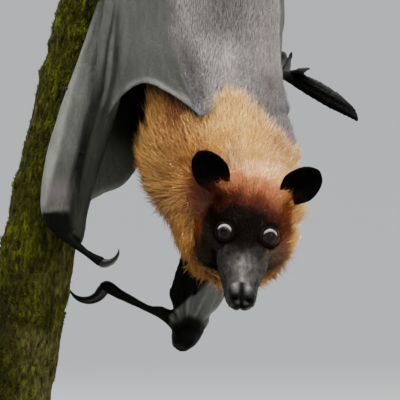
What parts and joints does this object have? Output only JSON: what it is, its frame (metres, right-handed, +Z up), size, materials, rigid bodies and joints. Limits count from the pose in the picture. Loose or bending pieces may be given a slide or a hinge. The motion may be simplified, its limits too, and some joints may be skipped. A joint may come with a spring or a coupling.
{
  "type": "fruit bat",
  "caption": "Life-size fruit bat with a golden mantle, hanging head down from a cut length of mossy branch on a flat display stand.",
  "frame": {"origin": "middle of the underside of the stand's base", "axes": "+Z up; -Y is the side to which the bat's back and face are turned; +X to the right as seen from there"},
  "size_m": [0.22, 0.1752, 0.466],
  "materials": {
    "mantle_fur": "long soft golden fur",
    "back_fur": "short flat silver-grey fur",
    "face_fur": "short dark brown fur",
    "wing_skin": "thin satin grey skin",
    "dark_skin": "bare black skin",
    "eye": "wet dark brown eye",
    "claw_horn": "smooth dark horn",
    "mossy_bark": "brown bark with green moss",
    "stand_wood": "dark oiled wood",
    "stand_steel": "brushed"
  },
  "bodies": {
    "root": {"claw_left_toe_1": "claw_horn", "claw_left_toe_2": "claw_horn", "claw_left_toe_3": "claw_horn", "claw_left_toe_4": "claw_horn", "claw_left_toe_5": "claw_horn", "claw_right_toe_1": "claw_horn", "claw_right_toe_2": "claw_horn", "claw_right_toe_3": "claw_horn", "claw_right_toe_4": "claw_horn", "claw_right_toe_5": "claw_horn", "ear_left": "dark_skin", "ear_right": "dark_skin", "eye_left": "eye", "eye_right": "eye", "finger_tip_left": "dark_skin", "fingers_left": "wing_skin", "fingers_right": "wing_skin", "foot_left": "dark_skin", "foot_right": "dark_skin", "forearm_left": "wing_skin", "forearm_right": "wing_skin", "hand_left": "wing_skin", "hand_membrane_left": "wing_skin", "hand_right": "wing_skin", "head": "face_fur", "index_claw_left": "claw_horn", "index_claw_right": "claw_horn", "neck": "mantle_fur", "perch": "mossy_bark", "plagiopatagium_left": "wing_skin", "plagiopatagium_right": "wing_skin", "propatagium_left": "wing_skin", "propatagium_right": "wing_skin", "shank_left": "back_fur", "shank_right": "back_fur", "stand_base": "stand_wood", "stand_rod": "stand_steel", "thigh_left": "back_fur", "thigh_right": "back_fur", "thumb_claw_left": "claw_horn", "thumb_claw_right": "claw_horn", "thumb_left": "dark_skin", "thumb_right": "dark_skin", "trunk": "back_fur", "upper_arm_left": "back_fur", "upper_arm_right": "back_fur", "wing_tip_left": "dark_skin", "wing_tip_right": "dark_skin"}
  },
  "joints": []
}
